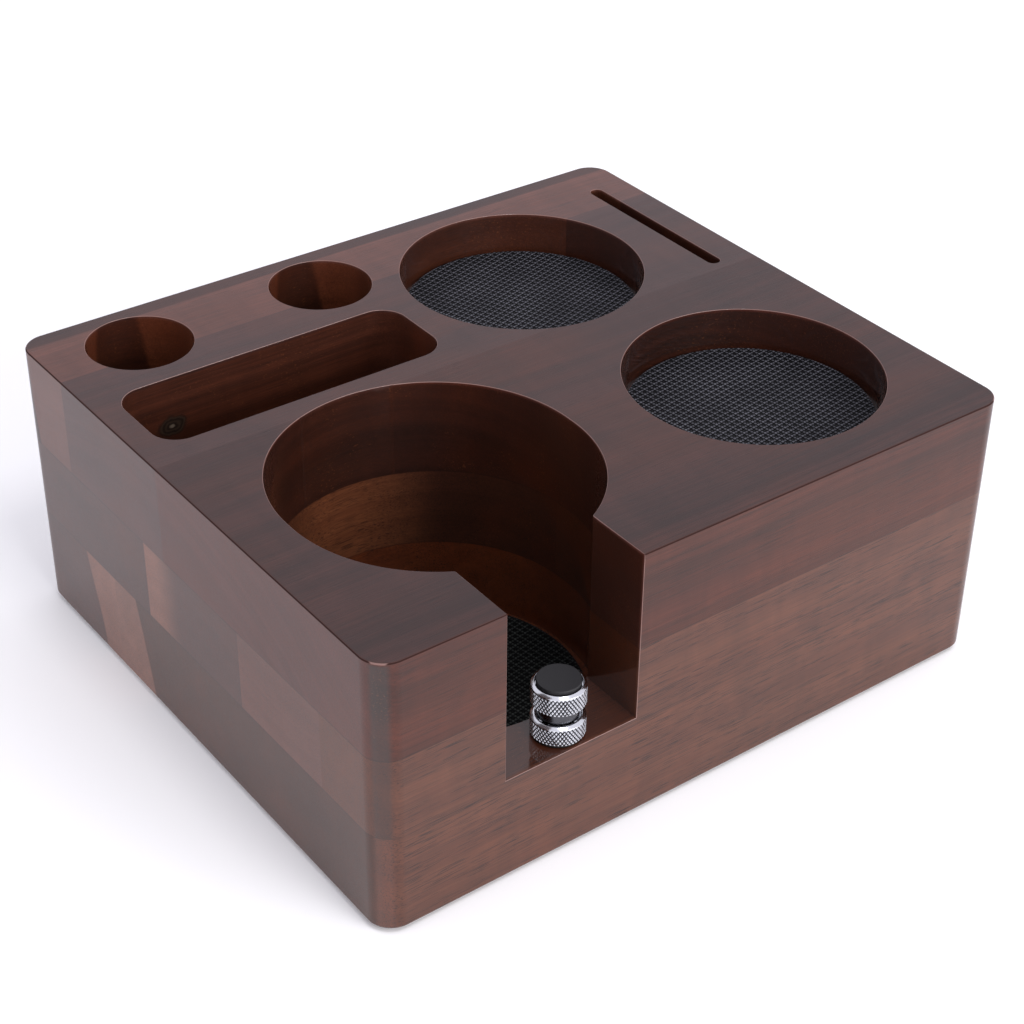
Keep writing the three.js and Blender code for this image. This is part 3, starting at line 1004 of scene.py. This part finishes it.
def thread_body(name, centre, low_z, high_z, radius):
    """Threaded rod: a fine grid whose radius follows a helical V thread."""
    rows = int(round((high_z - low_z) / THREAD_PITCH * ROWS_PER_PITCH))
    heights = np.linspace(low_z, high_z, rows + 1)
    vertices = [(centre.x, centre.y, low_z)]
    for z in heights:
        taper = min(1.0, (z - low_z) / THREAD_RUNOUT, (high_z - z) / THREAD_RUNOUT)
        for i in range(THREAD_TURN):
            angle = 2 * math.pi * i / THREAD_TURN
            phase = (z / THREAD_PITCH - i / THREAD_TURN) % 1.0
            ridge = min(1.0, 1.25 * (1 - abs(2 * phase - 1)))
            r = radius - THREAD_DEPTH * (1 - ridge * taper)
            vertices.append((centre.x + r * math.cos(angle), centre.y + r * math.sin(angle), z))
    vertices.append((centre.x, centre.y, high_z))
    grid = [[0]]
    for row in range(rows + 1):
        first = 1 + row * THREAD_TURN
        grid.append(list(range(first, first + THREAD_TURN)))
    grid.append([len(vertices) - 1])
    faces = []
    for lower, upper in zip(grid, grid[1:]):
        faces += band_faces(lower, upper, THREAD_TURN)
    return new_piece(name, vertices, faces)


# ---- Metals, rubber and plastic -----------------------------------------------------------

# Painted shade in the knurling's grooves.
GROOVE_SHADE = srgb(70, 70, 73)
SMUDGE = 0.05


def metal(name, colour, roughness, scratch=0.04, knurls=()):
    """Polished metal. knurls are the (low z, high z) bands whose grooves get painted shade."""
    g = Graph(name)
    fine = g.noise(g.place((2.2, 2.2, 9.0)), 3.0, 0.6)
    broad = g.noise(g.place((0.25, 0.25, 0.25)), 2.0)
    base = g.dim(colour, g.line(broad, 0.12, 0.94))
    for band in knurls:
        base = g.mix(groove_shade_share(g, *band), base, GROOVE_SHADE)
    return g.surface(Base_Color=base, Metallic=1.0, Normal=g.bump(fine, scratch, 0.00004),
                     Roughness=g.line(broad, SMUDGE, roughness - SMUDGE / 2))


def groove_shade_share(g, low_z, high_z):
    """1 down in the knurling's grooves between two heights, where shade is painted."""
    x, y, z = g.split(g.place())
    from_axis = g.length(g.math("SUBTRACT", x, POST_AXIS.x / MM),
                         g.math("SUBTRACT", y, POST_AXIS.y / MM))
    depth = g.math("SUBTRACT", KNURL_RADIUS / MM, from_axis)
    return g.product(
        g.step(depth, 0.07, 0.24),
        g.fall(depth, 0.34, 0.4),
        g.step(z, low_z / MM - 0.05, low_z / MM + 0.05),
        g.fall(z, high_z / MM - 0.05, high_z / MM + 0.05))


def rubber(name, colour, roughness, grain=0.2, scale=3.0):
    g = Graph(name)
    fine = g.noise(g.place((scale, scale, scale)), 3.0, 0.6)
    dust = g.noise(g.place((0.08, 0.08, 0.08)), 3.0, 0.6)
    return g.surface(Base_Color=g.dim(colour, g.line(dust, 0.5, 0.75)),
                     Roughness=g.line(fine, 0.14, roughness - 0.07),
                     Normal=g.bump(fine, grain, 0.00005), Specular_IOR_Level=0.4)


# ---- Pieces -------------------------------------------------------------------------------

BORE = 3.1 * MM
POST_EASE = 0.12 * MM
POST_SHARP = math.radians(24)
KNURL_FOOT = 0.3 * MM
RING_CROWN = 0.85 * MM
CAP_CROWN = 0.92 * MM
RING_CUP_RADIUS = 5.7 * MM
RING_CUP_FLOOR = 2.5 * MM
CAP_RIM_RADIUS = 6.0 * MM
CAP_RECESS = 1.2 * MM
PAD_GAP = 0.3 * MM
FOOT_GROOVES = (2.0 * MM, 3.4 * MM, 4.8 * MM)
FOOT_SHARP = math.radians(45)
INSERT_TURN = 64
INSERT_RIDGES = 6
INSERT_GROOVES = 12


def body_with(node):
    bodies = frame["record"]["behaviour"]["bodies"]
    return next(name for name, nodes in bodies.items() if node in nodes)


def finish_piece(piece, node, material):
    """Gives a finished piece its material and its body, and hides the CAD node it stands for."""
    piece.data.materials.clear()
    piece.data.materials.append(material)
    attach(piece, body_with(node))
    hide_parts(node)


def knurl_band(node, crown):
    """Heights between which a ring is knurled: above its foot and below its crown."""
    _, low_z, high_z = round_size(node)
    return low_z + KNURL_FOOT, high_z - crown


def knurled_foot(radius, low_z):
    """The chamfer below a band of knurling, from the inside out."""
    return [(radius - 0.45 * MM, low_z), (radius - 0.32 * MM, low_z + 0.22 * MM)]


def make_lock_ring(chrome, band):
    """The lower ring: open round the stud, with a deep cup for the neck to sink into."""
    r, low_z, high_z = round_size("lock_ring")
    cup_floor = low_z + RING_CUP_FLOOR
    before = rounded_profile([
        (BORE, low_z + 0.3 * MM), (BORE, low_z), *knurled_foot(r, low_z)], POST_EASE)
    after = rounded_profile([
        (r - 0.04 * MM, high_z - 0.72 * MM), (r - 0.04 * MM, high_z - 0.6 * MM),
        (r - 0.85 * MM, high_z), (RING_CUP_RADIUS + 0.12 * MM, high_z),
        (RING_CUP_RADIUS, high_z - 0.15 * MM), (RING_CUP_RADIUS, cup_floor),
        (BORE, cup_floor), (BORE, low_z + 0.6 * MM)], POST_EASE)
    piece = knurled("lock_ring_knurled", before, after, POST_AXIS, r, band, True)
    shade(piece, POST_SHARP)
    finish_piece(piece, "lock_ring", chrome)


def make_cap(chrome, band):
    """The upper ring: bored from below for the stud, with a recess on top for its pad."""
    r, low_z, high_z = round_size("knurled_cap")
    rim = CAP_RIM_RADIUS
    recess = high_z - CAP_RECESS
    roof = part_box("stud")[1].z + FLOOR_GAP
    before = [(0.0, roof)] + rounded_profile([
        (BORE, roof), (BORE, low_z), *knurled_foot(r, low_z)], POST_EASE)
    after = rounded_profile([
        (r - 0.04 * MM, high_z - 0.78 * MM), (r - 0.04 * MM, high_z - 0.62 * MM),
        (rim + 0.12 * MM, high_z), (rim, high_z - 0.1 * MM), (rim, recess),
        (5 * MM, recess)], POST_EASE) + [(0.0, recess)]
    piece = knurled("cap_knurled", before, after, POST_AXIS, r, band, False)
    shade(piece, POST_SHARP)
    finish_piece(piece, "knurled_cap", chrome)


def make_pad():
    """Rubber pad, a little narrower than the recess it sits in."""
    cad_radius, low_z, high_z = round_size("cap_pad")
    r = cad_radius - PAD_GAP
    profile = [(0.0, low_z)] + rounded_profile([
        (1 * MM, low_z), (r, low_z), (r, high_z - 0.18 * MM), (r - 0.18 * MM, high_z),
        (1 * MM, high_z)], POST_EASE, 4) + [(0.0, high_z)]
    piece = revolve("cap_rubber_pad", profile, POST_AXIS)
    shade(piece)
    finish_piece(piece, "cap_pad", rubber("pad_rubber", srgb(26, 25, 27), 0.5, 0.12, 5.0))


def make_neck():
    """Dark neck sleeve with a small step at its top."""
    r, low_z, high_z = round_size("neck_sleeve")
    profile = [
        (BORE, low_z), (r - 0.2 * MM, low_z), (r, low_z + 0.2 * MM), (r, high_z - 0.5 * MM),
        (r - 0.15 * MM, high_z - 0.35 * MM), (r - 0.15 * MM, high_z), (BORE, high_z)]
    piece = revolve("neck_sleeve_turned", profile, POST_AXIS, closed=True)
    shade(piece)
    finish_piece(piece, "neck_sleeve", metal("black_steel", srgb(84, 84, 88), 0.24))


def make_stud():
    r, low_z, high_z = round_size("stud")
    piece = thread_body("stud_threaded", POST_AXIS, low_z, high_z, r)
    shade(piece, THREAD_SHARP)
    finish_piece(piece, "stud", metal("stud_steel", srgb(188, 190, 194), 0.24, 0.08))


def make_washer():
    r, low_z, high_z = round_size("lock_washer")
    middle = (low_z + high_z) / 2
    profile = rounded_profile([
        (BORE, middle), (BORE, low_z), (r, low_z), (r, high_z), (BORE, high_z),
        (BORE, middle + 0.05 * MM)], POST_EASE)
    piece = revolve("lock_washer_flat", profile, POST_AXIS, closed=True)
    shade(piece)
    finish_piece(piece, "lock_washer", rubber("washer_nylon", srgb(24, 24, 24), 0.45, 0.1, 4.0))


def make_insert():
    """Brass insert: a coarse outer thread, grooved bore and a chamfered mouth."""
    outer, low_z, high_z = round_size("threaded_insert")
    inner = outer - 0.6 * MM
    profile = [(BORE + 0.3 * MM, low_z), (inner, low_z)]
    pitch = (high_z - low_z - 1.2 * MM) / INSERT_RIDGES
    for ridge in range(INSERT_RIDGES):
        start = low_z + 0.6 * MM + ridge * pitch
        profile += [(inner, start), (outer, start + 0.42 * pitch), (outer, start + 0.58 * pitch)]
    profile += [(inner, high_z - 0.5 * MM), (outer - 0.4 * MM, high_z)]
    profile += [(BORE + 0.35 * MM, high_z), (BORE, high_z - 0.35 * MM)]
    step = (high_z - low_z - 1 * MM) / INSERT_GROOVES
    for groove in range(INSERT_GROOVES):
        start = high_z - 0.5 * MM - groove * step
        profile += [(BORE, start), (BORE + 0.3 * MM, start - 0.5 * step)]
    profile += [(BORE, low_z + 0.4 * MM)]
    piece = revolve("insert_threaded", profile, POST_AXIS, INSERT_TURN, closed=True)
    shade(piece)
    finish_piece(piece, "threaded_insert", metal("insert_brass", srgb(196, 160, 88), 0.3, 0.08))


def make_post():
    ring_band = knurl_band("lock_ring", RING_CROWN)
    cap_band = knurl_band("knurled_cap", CAP_CROWN)
    chrome = metal("chrome", srgb(222, 224, 229), 0.16, knurls=(ring_band, cap_band))
    make_lock_ring(chrome, ring_band)
    make_cap(chrome, cap_band)
    make_pad()
    make_neck()
    make_stud()
    make_washer()
    make_insert()


def make_feet():
    """Rubber pads with three round grooves underneath."""
    material = rubber("foot_rubber", srgb(34, 34, 35), 0.7, 0.3, 2.0)
    for node in FEET:
        r, low_z, high_z = round_size(node)
        profile = [(0.0, low_z)]
        for at in FOOT_GROOVES:
            profile += [(at - 0.25 * MM, low_z), (at, low_z + 0.2 * MM),
                        (at + 0.25 * MM, low_z)]
        profile += rounded_profile([
            (r - 1 * MM, low_z), (r - 0.15 * MM, low_z), (r, high_z), (1 * MM, high_z)],
            0.45 * MM, 4)[1:]
        profile += [(0.0, high_z)]
        foot = revolve(node + "_pad", profile, middle_of(node), FOOT_TURN)
        shade(foot, FOOT_SHARP)
        finish_piece(foot, node, material)


def make_mats():
    make_mat("well_mat", 10, MAT_BLACK)
    make_mat("rear_pocket_mat", 18, MAT_GREY)
    make_mat("front_pocket_mat", 9.2, MAT_GREY)


def make_wood():
    materials = wood_materials()
    for node, piece in make_boards().items():
        finish_piece(piece, node, materials[node])


# ---- Camera, floor and light --------------------------------------------------------------

CAMERA_PLACE = (-0.2970, -0.4021, BASE_Z + 0.3749)
FLOOR_HALF = 3.0
FLOOR_GLOW = 0.05
WORLD_COLOUR = (0.93, 0.915, 1.0, 1.0)
WORLD_STRENGTH = 0.95


def make_camera():
    """Looks down at the notched corner of the block from the front left."""
    yaw = math.radians(38.11)
    pitch = math.radians(34.15)
    roll = math.radians(1.46)
    data = bpy.data.cameras.new("camera")
    data.sensor_width = 36
    data.lens = 75.64
    data.shift_x = -0.0427
    data.shift_y = -0.0016
    data.clip_start = 0.01
    data.clip_end = 20
    forward = Vector((
        math.sin(yaw) * math.cos(pitch), math.cos(yaw) * math.cos(pitch), -math.sin(pitch)))
    level = forward.cross(Vector((0, 0, 1))).normalized()
    rise = level.cross(forward)
    right = math.cos(roll) * level + math.sin(roll) * rise
    up = math.cos(roll) * rise - math.sin(roll) * level
    camera = bpy.data.objects.new("camera", data)
    bpy.context.scene.collection.objects.link(camera)
    camera.location = CAMERA_PLACE
    camera.rotation_mode = "QUATERNION"
    camera.rotation_quaternion = Matrix((right, up, -forward)).transposed().to_quaternion()
    bpy.context.scene.camera = camera


def make_floor():
    """Pale ground whose faint glow keeps the shadows light."""
    g = Graph("floor_pale")
    mottle = g.noise(g.place((0.004, 0.004, 0.004)), 2.0)
    base = g.mix(g.product(mottle, 0.1), srgb(252, 252, 252), srgb(248, 248, 248))
    material = g.surface(Base_Color=base, Roughness=0.9, Emission_Color=WHITE,
                         Emission_Strength=FLOOR_GLOW)
    half = FLOOR_HALF
    corners = [(-half, -half), (half, -half), (half, half), (-half, half)]
    floor = new_piece("floor", [(x, y, 0.0) for x, y in corners], [(0, 1, 2, 3)])
    floor.data.materials.append(material)


def add_area_light(name, place, target, size, power):
    data = bpy.data.lights.new(name, "AREA")
    data.shape = "RECTANGLE"
    data.size, data.size_y = size
    data.energy = power
    light = bpy.data.objects.new(name, data)
    bpy.context.scene.collection.objects.link(light)
    light.location = place
    aim = Vector(target) - Vector(place)
    light.rotation_mode = "QUATERNION"
    light.rotation_quaternion = aim.to_track_quat("-Z", "Y")


def make_light():
    world = bpy.data.worlds.new("studio")
    bpy.context.scene.world = world
    world.use_nodes = True
    background = world.node_tree.nodes["Background"]
    background.inputs["Color"].default_value = WORLD_COLOUR
    background.inputs["Strength"].default_value = WORLD_STRENGTH
    middle = (0, 0, 0.04)
    add_area_light("key", (0.3, -1.2, 0.62), middle, (0.8, 0.5), 9)
    add_area_light("overhead", (-0.06, -0.55, 1.1), middle, (0.3, 0.3), 3)


bpy.context.scene.view_settings.view_transform = "Standard"
make_camera()
make_floor()
make_light()
make_wood()
make_mats()
make_post()
make_feet()
